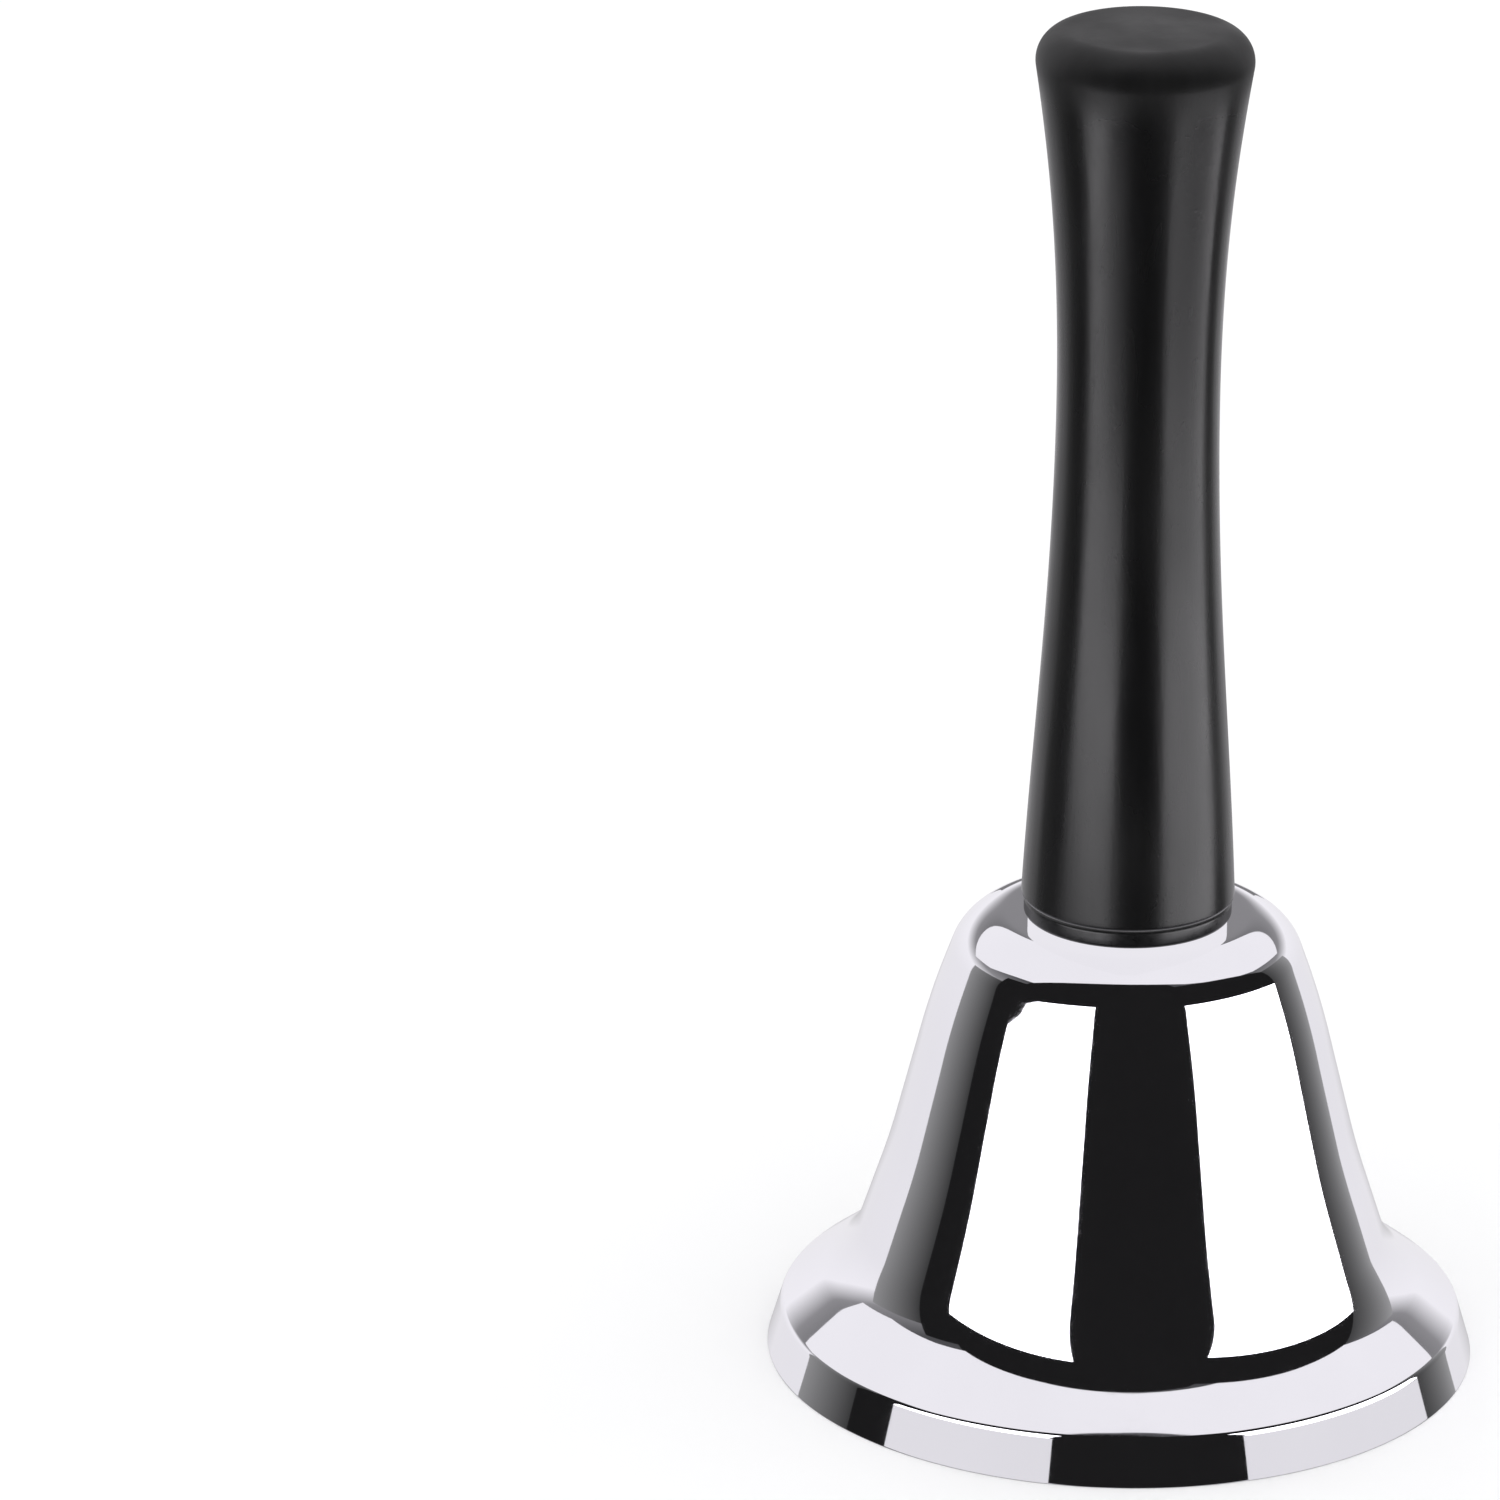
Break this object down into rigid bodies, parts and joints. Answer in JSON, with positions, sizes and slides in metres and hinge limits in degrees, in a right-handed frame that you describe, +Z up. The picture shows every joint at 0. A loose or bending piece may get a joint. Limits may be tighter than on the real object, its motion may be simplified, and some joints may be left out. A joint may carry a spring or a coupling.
{
  "type": "hand bell",
  "caption": "Small standing hand bell: flared chromed shell, waisted black turned handle, and a flat-bottomed ball clapper on a hanger that turns and swings.",
  "frame": {"origin": "centre of the rim, on the surface the bell stands on", "axes": "+Z up along the bell's axis to the top of the handle; +X along the clapper's cross pin"},
  "size_m": [0.08, 0.08, 0.1554],
  "materials": {
    "handle": "black lacquered turned wood, satin",
    "collar": "black moulded ring, satin",
    "shell": "mirror chrome outside, slightly rippled plating inside",
    "ball": "polished plated ball with fine scratches",
    "rod": "plated wire",
    "fixings": "zinc plated steel",
    "bush": "turned brass"
  },
  "bodies": {
    "bell": {"handle": "handle", "handle_collar": "collar", "bell_shell": "shell", "crown_washer": "fixings", "hanger_bush": "bush", "hanger_screw": "fixings"},
    "hanger": {"hanger_strap": "fixings", "strap_pin": "fixings"},
    "clapper": {"clapper_rod": "rod", "clapper_ball": "ball"}
  },
  "joints": [
    {"name": "hanger_turn", "type": "hinge", "parent": "bell", "child": "hanger", "pos_m": [0, 0, 0.0502], "axis": [0, 0, 1], "continuous": true},
    {"name": "clapper_swing", "type": "hinge", "parent": "hanger", "child": "clapper", "pos_m": [0, 0, 0.04322], "axis": [1, 0, 0], "range_deg": [-33.8, 33.8]}
  ]
}
